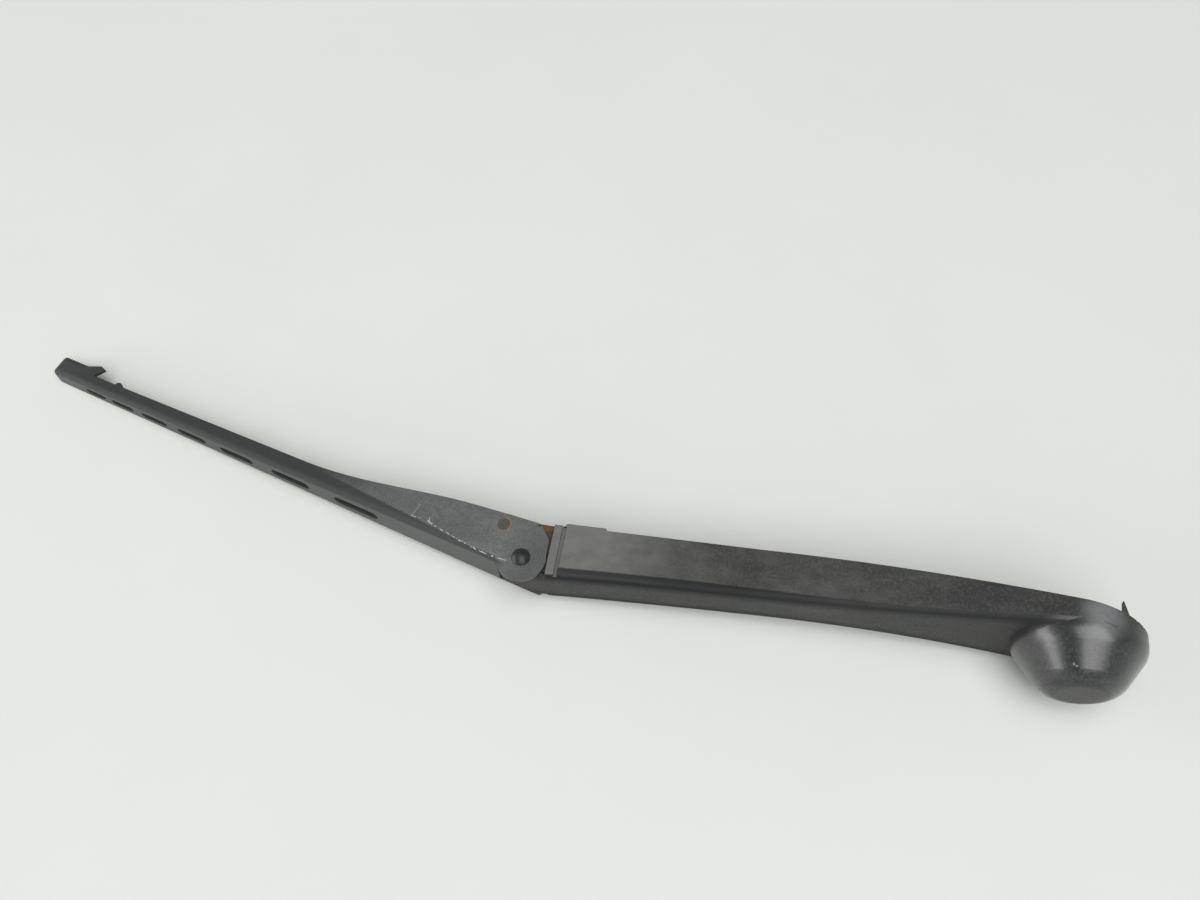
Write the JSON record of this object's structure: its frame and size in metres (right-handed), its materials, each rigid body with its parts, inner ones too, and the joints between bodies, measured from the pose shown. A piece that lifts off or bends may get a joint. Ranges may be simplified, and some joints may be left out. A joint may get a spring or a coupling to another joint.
{
  "type": "wiper arm",
  "caption": "Windscreen wiper arm: moulded head cover with a round dome over its spindle hub, and a sprung, slotted steel retainer on a hinge, with a barbed blade seat.",
  "frame": {"origin": "on the spindle axis, where the hub's taper meets its straight land", "axes": "+X along the head from the hinge to the spindle, +Y towards the glass, +Z along the hinge axis"},
  "size_m": [0.4282, 0.0811, 0.044],
  "materials": {
    "cover_plastic": "satin",
    "retainer_paint": "satin",
    "head_steel": "satin",
    "rivet_paint": "satin",
    "pin_steel": "worn",
    "washer_plastic": "matte",
    "hub_metal": "satin",
    "sprung_steel": "satin"
  },
  "bodies": {
    "head": {"head_cover": "cover_plastic", "arm_head": "head_steel", "spindle_hub": "hub_metal", "anchor_pin": "sprung_steel"},
    "retainer": {"retainer": "retainer_paint", "hinge_rivet_upper": "rivet_paint", "hinge_rivet_lower": "rivet_paint", "hinge_washer_upper": "washer_plastic", "hinge_washer_lower": "washer_plastic", "spring_pin": "pin_steel"},
    "hook": {"spring_hook": "sprung_steel"},
    "spring": {"tension_spring": "sprung_steel"}
  },
  "joints": [
    {"name": "arm_hinge", "type": "hinge", "parent": "head", "child": "retainer", "pos_m": [-0.1952, -0.001, 0], "axis": [0, 0, 1], "range_deg": [0, 60], "stiffness_Nm_per_rad": 0.1, "springref_deg": -28.65},
    {"name": "hook_swing", "type": "hinge", "parent": "retainer", "child": "hook", "pos_m": [-0.20403, 0.011, 0], "axis": [0, 0, 1], "range_deg": [-55, 0]},
    {"name": "spring_swing", "type": "hinge", "parent": "head", "child": "spring", "pos_m": [-0.0832, 0.009, 0], "axis": [0, 0, 1], "range_deg": [0, 6]}
  ],
  "couplings": [
    {"joint": "hook_swing", "follows": "arm_hinge", "ratio": -0.90148},
    {"joint": "spring_swing", "follows": "arm_hinge", "ratio": 0.09852}
  ]
}
